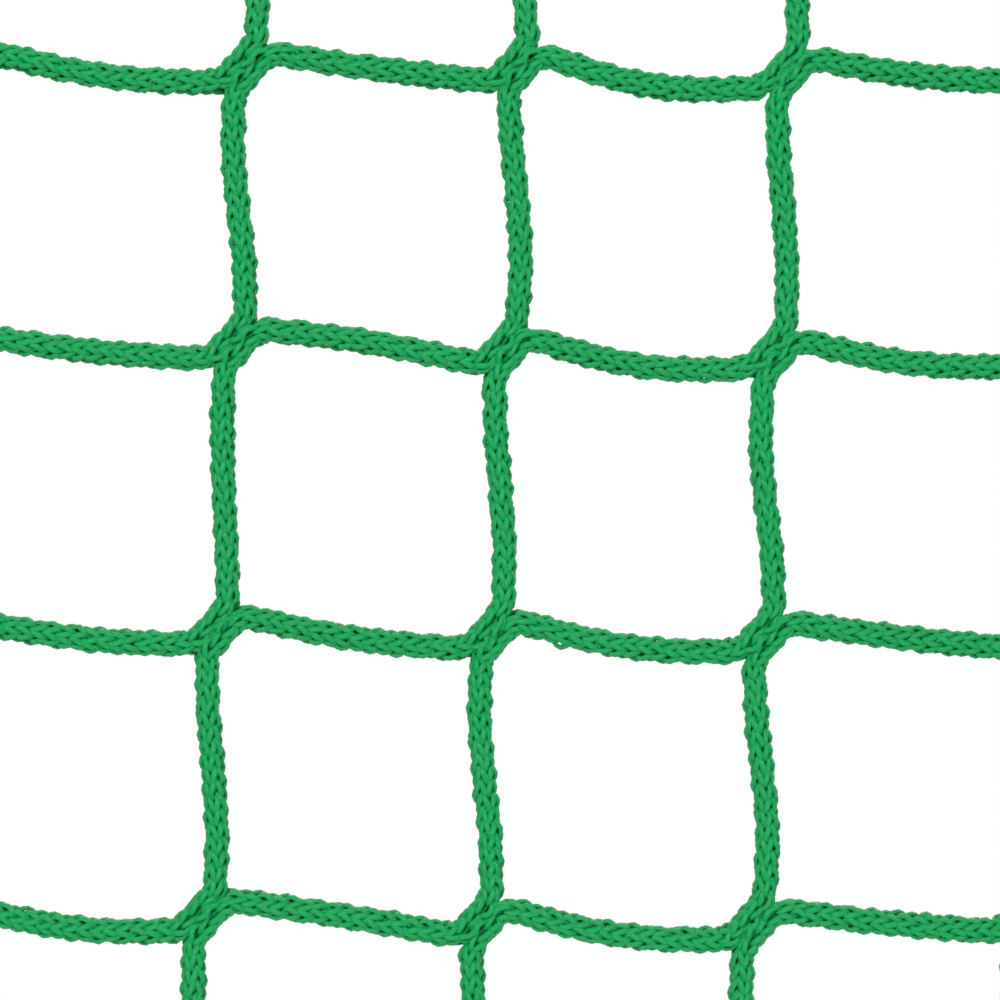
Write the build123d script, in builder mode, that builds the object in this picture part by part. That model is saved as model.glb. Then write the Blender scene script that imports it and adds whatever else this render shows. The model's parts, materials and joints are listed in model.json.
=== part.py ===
"""A panel of knotless climbing net with a lashed border rope and four corner eyes.

The panel hangs in the XZ plane and its front faces -Y. The origin is the middle of the bore of
the top left eye. Rows and columns of joints are counted from the top left, from 0.

The net is made of knitted strands that go down the panel like stairs. At each joint one strand
comes from above and leaves to the left, and another comes from the right and leaves downwards.
The two lie side by side along the joint's diagonal, knitted together on a flat face. Between two
rows of joints every leg and the border rope are divided, so that the rows fold about that line.
"""

import os
from math import acos, cos, radians, sin, tan

from build123d import *

# The net
columns = 5  # joints in a row
rows = 6  # joints in a column
mesh_across = 58.8  # joint to joint along a row
mesh_down = 61.2  # joint to joint down a column
lean = 2.8  # how far each row hangs to the left of the one above it
strand = 5.2  # thickness of a knitted strand

# The joints, measured from the middle of the joint
top_leg_x = 1.7  # the leg that comes from above
bottom_leg_x = -3.0  # the leg that leaves downwards
left_leg_z = -2.5  # the leg that leaves to the left
right_leg_z = 3.7  # the leg that comes from the right
joint_width = 8.2  # across the two strands where they are knitted together
joint_bend = 9.0  # radius of a strand where it turns in or out of a joint
stub_trim = 2.0  # how far inside its corner a cut strand ends

# The legs between the joints
level_across = 11.0  # level run of a leg beside a joint, before it slopes
level_down = 13.0  # the same, on a leg that hangs
knee_bend = 25.0  # radius where the level run meets the slope

# Folding
fold = 50.0  # how far one row folds against the next, either way
fold_gap = 0.5  # least space between two halves of a leg when folded that far

# The border rope and its corner eyes
rope = 8.0
edge_gap = 0.6  # space between the border rope and the outermost netting
corner_bend = 14.0  # radius where the rope turns from an edge into the eye's neck
neck_gap = 0.2  # space between the two parts of the rope in the neck
neck_run = 9.0  # straight run of the neck, for the seizing
neck_bend = 16.0  # radius where the rope opens out around the thimble
neck_flare = 35.0  # how far it opens out, in degrees each side

# The thimbles
bore = 12.0  # takes a 12 mm eye bolt or a shackle pin
thimble_wall = 2.9  # between the bore and the bottom of the groove
thimble_length = 12.0
thimble_rim = 3.5  # height of the rims that hold the rope
thimble_fit = 0.05  # space between the rope and its groove
thimble_chamfer = 0.5

# Twine
twine = 1.6
twine_slack = 0.35  # space between twine and the cords it goes round
lashing_width = 5.0
seizing_width = 8.0
whipping_width = 26.0
whipping_slack = 0.05
whipping_stand_off = 6.0  # from the whipping to the knee of the leg above it

os.makedirs("parts", exist_ok=True)

# Geometry that follows from the sizes above. Every point and direction lies in the net's plane.


def quarter_turn(direction):
    """A direction turned a quarter turn to the left, as seen from the front."""
    return direction.rotate(Axis.Y, -90)


def crossing(point, direction, other_point, other_direction):
    """Where a line through one point meets a line through another."""
    across = quarter_turn(other_direction)
    return point + direction * ((other_point - point).dot(across) / direction.dot(across))


down = Vector(0, 0, -1)
left = Vector(-1, 0, 0)
right = Vector(1, 0, 0)
side = Vector(-lean, 0, -mesh_down).normalized()  # the way the side ropes run down

# The joint's diagonal goes from the notch at its lower left to the notch at its upper right.
upper_notch = Vector(top_leg_x + strand / 2, 0, right_leg_z + strand / 2)
lower_notch = Vector(bottom_leg_x - strand / 2, 0, left_leg_z - strand / 2)
diagonal = (upper_notch - lower_notch).normalized()
to_upper_side = quarter_turn(diagonal)
seam = (upper_notch + lower_notch) * 0.5
half_offset = (joint_width - strand) / 2

# The upper strand turns from the top leg into the left leg, at two corners.
upper_line = seam + to_upper_side * half_offset
upper_in = crossing(upper_line, diagonal, Vector(top_leg_x, 0, 0), down)
upper_out = crossing(upper_line, diagonal, Vector(0, 0, left_leg_z), left)

# The lower strand turns from the right leg into the bottom leg.
lower_line = seam - to_upper_side * half_offset
lower_in = crossing(lower_line, diagonal, Vector(0, 0, right_leg_z), left)
lower_out = crossing(lower_line, diagonal, Vector(bottom_leg_x, 0, 0), down)

# A strand that is cut at the edge of the panel ends just inside its corner.
upper_in_cut = upper_in - diagonal * stub_trim
upper_out_cut = upper_out + diagonal * stub_trim
lower_in_cut = lower_in - diagonal * stub_trim
lower_out_cut = lower_out + diagonal * stub_trim

# The border rope's middle line stands clear of everything at the panel's edges.
rope_stand_off = (strand + rope) / 2 + edge_gap
above_top_row = max(right_leg_z, upper_in_cut.Z) + rope_stand_off
below_bottom_row = -min(left_leg_z, lower_out_cut.Z) + rope_stand_off
beside_left_column = -min(bottom_leg_x, upper_out_cut.X) + rope_stand_off
beside_right_column = max(top_leg_x, lower_in_cut.X) + rope_stand_off

# A corner eye: the rope leaves the edge, runs up the neck, opens out and goes round the thimble.
groove_bottom = bore / 2 + thimble_wall
eye_bend = groove_bottom + thimble_fit + rope / 2
neck_half = (rope + neck_gap) / 2
flare = radians(neck_flare)
neck_opens = (eye_bend - neck_half * cos(flare)) / sin(flare)
neck_ends = neck_opens + neck_bend * tan(flare / 2)
eye_turn = radians(180 + 2 * neck_flare) / 3  # the rope turns three times round the thimble
eye_corner = eye_bend / cos(eye_turn / 2)
eye_radii = [corner_bend, neck_bend, eye_bend, eye_bend, eye_bend, neck_bend, corner_bend]


def outward_of(first, second):
    """The direction in which the eye of the corner between two edges points."""
    return (first + second).normalized() * -1


def edge_to_neck(edge, outward):
    """How far from the panel's corner the rope leaves an edge for the neck."""
    return neck_half / abs(edge.dot(quarter_turn(outward)))


def eye_reach(first, second):
    """The distance from a panel's corner to the middle of its eye."""
    outward = outward_of(first, second)
    turn = acos(-first.dot(outward))
    before_neck = corner_bend * tan(turn / 2) + edge_to_neck(first, outward) * cos(turn)
    return neck_ends + neck_run + before_neck


def eye_middle(corner, first, second):
    return corner + outward_of(first, second) * eye_reach(first, second)


def eye_route(corner, first, second):
    """The corners of the rope's route from the first edge round the eye to the second edge."""
    outward = outward_of(first, second)
    middle = eye_middle(corner, first, second)
    points = [middle + outward * eye_corner]
    for edge in (first, second):
        sideways = quarter_turn(outward)
        if sideways.dot(edge) < 0:
            sideways = sideways * -1
        leaves_edge = corner + edge * edge_to_neck(edge, outward)
        opens_out = middle - outward * neck_opens + sideways * neck_half
        shoulder = outward * cos(eye_turn) + sideways * sin(eye_turn)
        half_route = [leaves_edge, opens_out, middle + shoulder * eye_corner]
        points = half_route + points if edge is first else points + half_route[::-1]
    return points


# The panel is placed from its top left eye, whose middle is the origin.
top_left = outward_of(side, right) * -eye_reach(side, right)
panel_width = beside_left_column + (columns - 1) * mesh_across + beside_right_column
panel_height = above_top_row + (rows - 1) * mesh_down + below_bottom_row
top_right = top_left + right * panel_width
bottom_left = top_left + side * (panel_height / -side.Z)
bottom_right = bottom_left + right * panel_width

# Each corner of the panel, with the directions of its two edges.
top_corners = {"top_left": (top_left, side, right), "top_right": (top_right, left, side)}
bottom_corners = {
    "bottom_left": (bottom_left, side * -1, right),
    "bottom_right": (bottom_right, left, side * -1),
}


def joint_at(row, column):
    """The middle of a joint. Row 0 is the top row and column 0 the left one."""
    row_left = top_left + side * ((above_top_row + row * mesh_down) / -side.Z)
    return row_left + right * (beside_left_column + column * mesh_across)


def fold_z(row):
    """The height of the line about which a row folds against the row above it."""
    return joint_at(row, 0).Z + mesh_down / 2


def side_at(corner, z):
    """The point of a side rope's middle line at a height."""
    return corner + side * ((z - corner.Z) / side.Z)


# The rounded ends of two halves that fold against each other keep clear at the full fold.
strand_set_back = (strand + fold_gap) / 2 / cos(radians(fold / 2))
rope_set_back = (rope + fold_gap) / 2 / cos(radians(fold / 2))


def hanging_leg(row, column):
    """The leg that comes down to a joint: both knees, the middle and the slope's direction."""
    upper_knee = joint_at(row - 1, column) + lower_out + down * level_down
    lower_knee = joint_at(row, column) + upper_in - down * level_down
    slope = (lower_knee - upper_knee).normalized()
    middle = upper_knee + slope * ((fold_z(row) - upper_knee.Z) / slope.Z)
    return upper_knee, middle, lower_knee, slope


def upper_half(row, column):
    """The corners and radii of a strand from the fold line down and round its first joint."""
    _, middle, knee, slope = hanging_leg(row, column)
    joint = joint_at(row, column)
    start = middle + slope * strand_set_back
    return [start, knee, joint + upper_in, joint + upper_out], [knee_bend, joint_bend, joint_bend]


def level_leg(row, column):
    """The knees and radii of the leg that goes left from a joint to the next one."""
    right_knee = joint_at(row, column) + upper_out + left * level_across
    left_knee = joint_at(row, column - 1) + lower_in + right * level_across
    return [right_knee, left_knee], [knee_bend, knee_bend]


def lower_half(row, column):
    """The corners and radii of a strand round its second joint and down to the fold line."""
    knee, middle, _, slope = hanging_leg(row + 1, column)
    joint = joint_at(row, column)
    end = middle - slope * strand_set_back
    return [joint + lower_in, joint + lower_out, knee, end], [joint_bend, joint_bend, knee_bend]


def strand_route(row, column):
    """A strand's corners and bend radii within one row, from the column it comes down to the
    column on its left. At the edges of the panel it is cut inside its last joint."""
    if column == columns:
        points, radii = lower_half(row, column - 1)
        return [joint_at(row, column - 1) + lower_in_cut] + points[1:], radii[1:]
    if row == 0:
        joint = joint_at(row, column)
        points, radii = [joint + upper_in_cut, joint + upper_out], [joint_bend]
    else:
        points, radii = upper_half(row, column)
    if column == 0:
        return points[:-1] + [joint_at(row, column) + upper_out_cut], radii[:-1]
    leg_points, leg_radii = level_leg(row, column)
    points, radii = points + leg_points, radii + leg_radii
    if row == rows - 1:
        joint = joint_at(row, column - 1)
        return points + [joint + lower_in, joint + lower_out_cut], radii + [joint_bend]
    lower_points, lower_radii = lower_half(row, column - 1)
    return points + lower_points, radii + lower_radii


def seam_face(row, column):
    """The flat face on which a joint's two strands meet, facing its upper strand."""
    return Plane(joint_at(row, column) + seam, z_dir=to_upper_side)


def make_strand(row, column, label):
    """One row's piece of a strand, cut flat where it is knitted to its neighbours."""
    points, radii = strand_route(row, column)
    with BuildPart() as piece:
        with BuildLine(Plane.XZ) as route:
            FilletPolyline(*points, radius=radii)
        with BuildSketch(Plane(route.line @ 0, z_dir=route.line % 0)):
            Circle(strand / 2)
        sweep(path=route.line)
        with Locations(route.line @ 0, route.line @ 1):
            Sphere(strand / 2)
        if column < columns:
            split(bisect_by=seam_face(row, column), keep=Keep.TOP)
        if column > 0:
            split(bisect_by=seam_face(row, column - 1), keep=Keep.BOTTOM)
    piece.part.label = label
    return piece.part


def make_rope(points, radii, label):
    """A piece of the border rope with rounded ends."""
    with BuildPart() as piece:
        with BuildLine(Plane.XZ) as route:
            if radii:
                FilletPolyline(*points, radius=radii)
            else:
                Line(*points)
        with BuildSketch(Plane(route.line @ 0, z_dir=route.line % 0)):
            Circle(rope / 2)
        sweep(path=route.line)
        with Locations(route.line @ 0, route.line @ 1):
            Sphere(rope / 2)
    piece.part.label = label
    return piece.part


def make_rope_edge(corners, fold_line, set_back, label):
    """The top or bottom edge of the border rope, round both of its eyes, to a fold line."""
    start = side_at(top_left, fold_line) + side * set_back
    end = side_at(top_right, fold_line) + side * set_back
    points = [start]
    for corner in corners.values():
        points += eye_route(*corner)
    return make_rope(points + [end], eye_radii * len(corners), label)


def make_rope_side(row, corner, label):
    """A side of the border rope between the fold lines above and below a row."""
    start = side_at(corner, fold_z(row)) + side * rope_set_back
    end = side_at(corner, fold_z(row + 1)) - side * rope_set_back
    return make_rope([start, end], [], label)


def make_thimble(middle, label):
    """A round thimble: a bush with a bore and a groove that the rope lies in."""
    rim = groove_bottom + thimble_rim
    with BuildPart() as thimble:
        with BuildSketch(Plane(middle, x_dir=(1, 0, 0), z_dir=(0, 0, 1))):
            with Locations((bore / 2, 0)):
                Rectangle(rim - bore / 2, thimble_length, align=(Align.MIN, Align.CENTER))
            with Locations((eye_bend, 0)):
                Circle(rope / 2 + thimble_fit, mode=Mode.SUBTRACT)
        revolve(axis=Axis(middle, (0, 1, 0)))
        bore_edges = thimble.edges().filter_by(GeomType.CIRCLE).sort_by(SortBy.RADIUS)[:2]
        chamfer(bore_edges, thimble_chamfer)
    thimble.part.label = label
    return thimble.part


def make_seizings(corners, label):
    """Twine round the two parts of the rope in the necks of the eyes."""
    inside = rope + 2 * twine_slack
    with BuildPart() as seizings:
        for corner in corners.values():
            outward = outward_of(*corner[1:])
            middle = eye_middle(*corner) - outward * (neck_ends + neck_run / 2)
            with BuildSketch(Plane(middle, x_dir=quarter_turn(outward), z_dir=outward)):
                SlotCenterToCenter(2 * neck_half, inside + 2 * twine)
                SlotCenterToCenter(2 * neck_half, inside, mode=Mode.SUBTRACT)
            extrude(amount=seizing_width / 2, both=True)
    seizings.part.label = label
    return seizings.part


def lashing_places(row):
    """Where a row's outer legs are lashed: the middle of each lashing on the leg, the middle of
    the rope beside it, and the leg's direction."""
    level_turn = acos(-diagonal.dot(left))
    steep_turn = acos(-diagonal.dot(down))
    after_level_turn = joint_bend * tan(level_turn / 2) + lashing_width / 2
    after_steep_turn = joint_bend * tan(steep_turn / 2) + lashing_width / 2
    places = []
    if row == 0:
        for column in range(columns - 1):
            leg = joint_at(row, column) + lower_in + right * after_level_turn
            places.append((leg, Vector(leg.X, 0, top_left.Z), right))
    if row == rows - 1:
        for column in range(1, columns):
            leg = joint_at(row, column) + upper_out + left * after_level_turn
            places.append((leg, Vector(leg.X, 0, bottom_left.Z), right))
    if row < rows - 1:
        leg = joint_at(row, 0) + lower_out + down * after_steep_turn
        places.append((leg, side_at(top_left, leg.Z), down))
    if row > 0:
        leg = joint_at(row, columns - 1) + upper_in - down * after_steep_turn
        places.append((leg, side_at(top_right, leg.Z), down))
    return places


def make_lashings(row, label):
    """Twine round the border rope and an outer leg, one lashing at each outer joint of a row."""
    with BuildPart() as lashings:
        for leg, rope_middle, direction in lashing_places(row):
            apart = rope_middle - leg
            across = Plane(leg, x_dir=apart, z_dir=direction)
            for thickness, mode in ((twine + twine_slack, Mode.ADD), (twine_slack, Mode.SUBTRACT)):
                with BuildSketch(across):
                    Circle(strand / 2 + thickness)
                    with Locations((apart.length, 0)):
                        Circle(rope / 2 + thickness)
                    make_hull()
                extrude(amount=lashing_width / 2, both=True, mode=mode)
    lashings.part.label = label
    return lashings.part


def make_whipping(label):
    """The whipping over the border rope's two ends, where the leg above it slopes away."""
    (knee, _), _ = level_leg(rows - 1, columns // 2)
    middle_x = knee.X - whipping_stand_off - whipping_width / 2
    with BuildPart() as whipping:
        with BuildSketch(Plane((middle_x, 0, bottom_left.Z), z_dir=right)):
            Circle(rope / 2 + whipping_slack + twine / 2)
            Circle(rope / 2 + whipping_slack, mode=Mode.SUBTRACT)
        extrude(amount=whipping_width / 2, both=True)
    whipping.part.label = label
    return whipping.part


pieces = []

# The strands. Two corners of the panel have no outer strand, because both its legs are cut.
for row in range(rows):
    first_column = 1 if row == 0 else 0
    last_column = columns - 1 if row == rows - 1 else columns
    for column in range(first_column, last_column + 1):
        pieces.append(make_strand(row, column, f"strand_row_{row + 1}_step_{column + 1}"))

# The border rope
pieces.append(make_rope_edge(top_corners, fold_z(1), -rope_set_back, "rope_top"))
pieces.append(make_rope_edge(bottom_corners, fold_z(rows - 1), rope_set_back, "rope_bottom"))
for row in range(1, rows - 1):
    pieces.append(make_rope_side(row, top_left, f"rope_left_row_{row + 1}"))
    pieces.append(make_rope_side(row, top_right, f"rope_right_row_{row + 1}"))

# What holds it
for place, corner in (top_corners | bottom_corners).items():
    pieces.append(make_thimble(eye_middle(*corner), f"thimble_{place}"))
pieces.append(make_seizings(top_corners, "seizings_top_eyes"))
pieces.append(make_seizings(bottom_corners, "seizings_bottom_eyes"))
for row in range(rows):
    pieces.append(make_lashings(row, f"lashings_row_{row + 1}"))
pieces.append(make_whipping("end_whipping"))

for piece in pieces:
    export_step(piece, f"parts/{piece.label}.step")

print(f"{len(pieces)} parts; the strands bend at {joint_bend} and {knee_bend} mm")
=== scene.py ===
import json
from math import acos, cos, pi, radians, sin, tan

import bpy
import numpy as np
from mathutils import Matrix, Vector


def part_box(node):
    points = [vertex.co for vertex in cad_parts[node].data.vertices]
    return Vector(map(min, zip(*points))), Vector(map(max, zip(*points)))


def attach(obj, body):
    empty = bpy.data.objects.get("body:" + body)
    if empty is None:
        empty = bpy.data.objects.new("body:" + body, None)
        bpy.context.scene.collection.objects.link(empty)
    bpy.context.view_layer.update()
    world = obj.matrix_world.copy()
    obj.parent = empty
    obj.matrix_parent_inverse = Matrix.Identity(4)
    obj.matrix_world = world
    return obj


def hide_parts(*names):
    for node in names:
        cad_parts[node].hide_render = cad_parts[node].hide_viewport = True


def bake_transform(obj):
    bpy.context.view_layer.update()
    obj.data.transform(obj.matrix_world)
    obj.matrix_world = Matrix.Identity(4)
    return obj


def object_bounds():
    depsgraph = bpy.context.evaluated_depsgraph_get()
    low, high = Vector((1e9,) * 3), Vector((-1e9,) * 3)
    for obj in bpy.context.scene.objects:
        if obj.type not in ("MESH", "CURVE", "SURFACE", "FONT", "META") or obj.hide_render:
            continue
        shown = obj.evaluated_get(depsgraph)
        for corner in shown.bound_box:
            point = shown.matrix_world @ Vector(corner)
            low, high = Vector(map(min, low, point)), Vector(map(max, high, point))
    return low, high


# Looks for the climbing net panel: knitted cords, a braided border rope, twine and thimbles.
# Shapes are worked out in millimetres on the frame's axes and written in metres.
# A point in the net's own plane is (x, z). The front faces -Y.
# Rows, columns and folds are counted from 0 here, and from 1 in the names of pieces and nodes.

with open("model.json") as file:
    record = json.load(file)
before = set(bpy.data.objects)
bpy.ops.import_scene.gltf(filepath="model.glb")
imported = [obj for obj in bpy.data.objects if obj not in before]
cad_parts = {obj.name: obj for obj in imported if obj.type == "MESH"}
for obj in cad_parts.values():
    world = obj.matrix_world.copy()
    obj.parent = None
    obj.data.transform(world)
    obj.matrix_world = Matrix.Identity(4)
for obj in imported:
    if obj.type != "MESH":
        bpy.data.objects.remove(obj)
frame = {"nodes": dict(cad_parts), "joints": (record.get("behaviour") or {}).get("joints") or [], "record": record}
cadBox = [list(corner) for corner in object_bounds()]
mm = 0.001
rng = np.random.default_rng(27)  # the same unevenness in every run
bodyNames = list(frame["record"]["behaviour"]["bodies"])
rowCount = len(bodyNames)
print("frame loaded,", len(frame["nodes"]), "nodes,", rowCount, "rows")

# Layout of the net. Its legs leave each joint where the frame's do, its joints are a little wider.
net = {
    "columns": 5,  # joints across
    "strandWidth": 5.2,
    "topLegX": 1.7,  # legs beside a joint, from the joint's middle
    "bottomLegX": -3.0,
    "leftLegZ": -2.5,
    "rightLegZ": 3.7,
    "jointWidth": 9.1,  # across the two strands of a joint
    "jointBend": 5.0,
    "stubTrim": 3.0,  # a strand's end stops this far short of its last bend
    "levelAcross": 11.0,  # level run of a lashed leg beside a joint, the others slope at once
    "levelDown": 13.0,  # straight run of a hanging leg beside a joint
    "kneeBend": 25.0,  # between such a run and the sloping middle of its leg
}
# How the soft net hangs out of its even layout
drape = {
    "joints": {  # (row, column): how far to the right and up a joint hangs
        (1, 3): (-0.5, -1.0), (2, 1): (0.5, 1.5), (2, 3): (-0.5, -0.5), (3, 1): (-0.5, 1.0),
        (3, 3): (0.0, -0.5), (4, 1): (-0.5, 0.5), (4, 2): (0.5, -1.0), (4, 3): (0.5, -1.5),
    },
    "sag": {  # row: how far its four level legs sag, from left to right
        1: (2.0, 0.5, 3.5, 1.5),
        2: (1.0, -1.0, 3.0, 2.5),
        3: (1.5, 1.5, 2.5, 0.5),
        4: (2.5, -0.5, 2.5, 0.5),
    },
    "bow": {  # row: how far to the right the three inner legs below its joints bow
        0: (0.5, -1.5, -0.5),
        1: (-0.5, 1.5, 0.5),
        2: (-0.5, 0.5, -1.0),
        3: (0.5, -0.5, 1.0),
        4: (0.0, 1.0, -0.5),
    },
    "stiffRun": 4.0,  # a leg beside a joint stays in line over this far
    "smooth": 3.0,  # and bends into the sag over this far
}
folding = {
    "bendHalf": 10.0,  # a leg bends over this far each side of a fold line
    "cutHalf": 14.0,  # and is a piece of its own over this far
}

# The even layout, read from the frame's fold lines and strands. Each row of joints hangs to the
# left of the one above it by the lean.
foldZ = [joint["pos_m"][2] / mm for joint in frame["joints"]]
meshDown = foldZ[0] - foldZ[1]
lean = (frame["joints"][0]["pos_m"][0] - frame["joints"][1]["pos_m"][0]) / mm
columnCount = net["columns"]
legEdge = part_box("strand_row_3_step_3")[1].x / mm
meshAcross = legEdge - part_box("strand_row_3_step_2")[1].x / mm
firstX = legEdge - net["strandWidth"] / 2 - net["topLegX"] - 2 * (meshAcross - lean)

down, left, right = np.array([0.0, -1.0]), np.array([-1.0, 0.0]), np.array([1.0, 0.0])
sideways = np.array([-lean, -meshDown]) / np.hypot(lean, meshDown)  # the side ropes run this way


# A direction turned a quarter turn to the left, as seen from the front
def quarterTurn(direction):
    return np.array([-direction[1], direction[0]])


# Where a line through one point meets a line through another
def crossing(point, direction, otherPoint, otherDirection):
    across = quarterTurn(otherDirection)
    return point + direction * ((otherPoint - point) @ across / (direction @ across))


# The even place of a joint, and the place where it hangs
def jointAt(row, column):
    return np.array([firstX + column * meshAcross - row * lean, foldZ[0] + (0.5 - row) * meshDown])


def hangingJoint(row, column):
    return jointAt(row, column) + np.array(drape["joints"].get((row, column), (0.0, 0.0)))


# Corners of the two strands at a joint, from the joint's middle
upperNotch = np.array([net["topLegX"], net["rightLegZ"]]) + net["strandWidth"] / 2
lowerNotch = np.array([net["bottomLegX"], net["leftLegZ"]]) - net["strandWidth"] / 2
diagonal = (upperNotch - lowerNotch) / np.linalg.norm(upperNotch - lowerNotch)
seam = (upperNotch + lowerNotch) / 2
seamOffset = quarterTurn(diagonal) * (net["jointWidth"] - net["strandWidth"]) / 2
upperIn = crossing(seam + seamOffset, diagonal, np.array([net["topLegX"], 0]), down)
upperOut = crossing(seam + seamOffset, diagonal, np.array([0, net["leftLegZ"]]), left)
lowerIn = crossing(seam - seamOffset, diagonal, np.array([0, net["rightLegZ"]]), left)
lowerOut = crossing(seam - seamOffset, diagonal, np.array([net["bottomLegX"], 0]), down)


# Straight runs joined by tangent arcs: points about a step apart along the whole route
def roundedRoute(corners, radii, step=0.4):
    corners = [np.asarray(c, float) for c in corners]
    parts, start = [], corners[0]
    for before, corner, after, radius in zip(corners, corners[1:], corners[2:], radii):
        way, leave = corner - before, after - corner
        way, leave = way / np.linalg.norm(way), leave / np.linalg.norm(leave)
        turn = acos(np.clip(way @ leave, -1, 1))
        spin = np.sign(way @ quarterTurn(leave)) * -1  # 1 where the route turns left
        tangent = radius * tan(turn / 2)
        arcStart = corner - way * tangent
        run = np.linalg.norm(arcStart - start)
        t = np.linspace(0, 1, max(2, int(run / step)), endpoint=False)[:, None]
        parts.append(start + (arcStart - start) * t)
        middle = arcStart + quarterTurn(way) * spin * radius
        angles = np.linspace(0, turn, max(3, int(turn * radius / step)), endpoint=False) * spin
        arm = arcStart - middle
        parts.append(middle + np.stack([arm[0] * np.cos(angles) - arm[1] * np.sin(angles),
                                        arm[0] * np.sin(angles) + arm[1] * np.cos(angles)], 1))
        start = corner + leave * tangent
    run = np.linalg.norm(corners[-1] - start)
    t = np.linspace(0, 1, max(2, int(run / step)))[:, None]
    parts.append(start + (corners[-1] - start) * t)
    return np.concatenate(parts)


# Distance along a route at each of its points
def lengthAlong(points):
    return np.concatenate([[0], np.cumsum(np.linalg.norm(np.diff(points, axis=0), axis=1))])


# A smooth curve through key points, evenly spaced in t: each span is the cubic that leaves a key
# point parallel to the line between its two neighbours
def throughKeys(keys, t):
    keys = np.asarray(keys, float)
    padded = np.concatenate([2 * keys[:1] - keys[1:2], keys, 2 * keys[-1:] - keys[-2:-1]])
    place = np.clip(t, 0, 1) * (len(keys) - 1)
    span = np.minimum(place.astype(int), len(keys) - 2)
    u = (place - span)[:, None]
    a, b, c, d = (padded[span + i] for i in range(4))
    return b + 0.5 * u * (c - a + u * (2 * a - 5 * b + 4 * c - d + u * (3 * (b - c) + d - a)))


# Tubes collected into one mesh. Each tube is a closed skin round a path: at every path point an
# ellipse stands across the path, wide along one direction and thick along the other, with an even
# number of sides, and both ends are closed. The attribute yarn holds (cos, sin, distance) of each
# point round and along its tube, and tone a shade for each tube point.
class TubeMesh:
    def __init__(self, sides):
        self.sides = sides
        self.points, self.faces, self.yarn, self.tone, self.count = [], [], [], [], 0

    def add(self, path, outward, width, thick, tone=0.5, startLength=0.0):
        n, sides = len(path), self.sides
        along = np.gradient(path, axis=0)
        along /= np.linalg.norm(along, axis=1)[:, None]
        across = np.cross(along, outward)
        across /= np.linalg.norm(across, axis=1)[:, None]
        up = np.cross(across, along)
        angle = np.arange(sides) * 2 * pi / sides
        wide = (np.broadcast_to(width, n) / 2)[:, None, None] * across[:, None, :]
        high = (np.broadcast_to(thick, n) / 2)[:, None, None] * up[:, None, :]
        ring = path[:, None, :] + wide * np.cos(angle)[None, :, None] + high * np.sin(angle)[None, :, None]
        length = lengthAlong(path) + startLength
        self.points.append(ring.reshape(-1, 3))
        yarn = np.empty((n, sides, 3))
        yarn[..., 0], yarn[..., 1], yarn[..., 2] = np.cos(angle), np.sin(angle), length[:, None]
        self.yarn.append(yarn.reshape(-1, 3))
        self.tone.append(np.repeat(np.broadcast_to(tone, n), sides))
        i, k = np.meshgrid(np.arange(n - 1), np.arange(sides), indexing="ij")
        a, b = i * sides + k, i * sides + (k + 1) % sides
        quads = np.stack([a, b, b + sides, a + sides], -1).reshape(-1, 4)
        fan = np.array([[0, j, j + 1, j + 2] for j in range(1, sides - 1, 2)])
        caps = np.concatenate([fan[:, ::-1], fan + (n - 1) * sides])
        self.faces.append(np.concatenate([quads, caps]) + self.count)
        self.count += n * sides

    # All the tubes as one object, with its material
    def build(self, name, material, slot):
        points, faces = np.concatenate(self.points) * mm, np.concatenate(self.faces)
        mesh = bpy.data.meshes.new(name)
        mesh.vertices.add(len(points))
        mesh.vertices.foreach_set("co", points.astype(np.float32).ravel())
        mesh.loops.add(faces.size)
        mesh.loops.foreach_set("vertex_index", faces.astype(np.int32).ravel())
        mesh.polygons.add(len(faces))
        mesh.polygons.foreach_set("loop_start", np.arange(0, faces.size, 4, dtype=np.int32))
        mesh.polygons.foreach_set("use_smooth", np.ones(len(faces), bool))
        yarn = mesh.attributes.new("yarn", "FLOAT_VECTOR", "POINT")
        yarn.data.foreach_set("vector", np.concatenate(self.yarn).astype(np.float32).ravel())
        tone = mesh.attributes.new("tone", "FLOAT", "POINT")
        tone.data.foreach_set("value", np.concatenate(self.tone).astype(np.float32))
        mesh.update(calc_edges=True)
        mesh.validate()
        piece = bpy.data.objects.new(name, mesh)
        bpy.context.scene.collection.objects.link(piece)
        mesh.materials.append(material)
        return piece


# What all the yarns share
yarnBase = {
    "sheenRoughness": 0.4,
    "glowSpread": (0.2, 1.0, 0.4), "glowDepth": 0.0006,
    "noiseDetail": 2.0, "noiseRoughness": 0.6,
}


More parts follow.
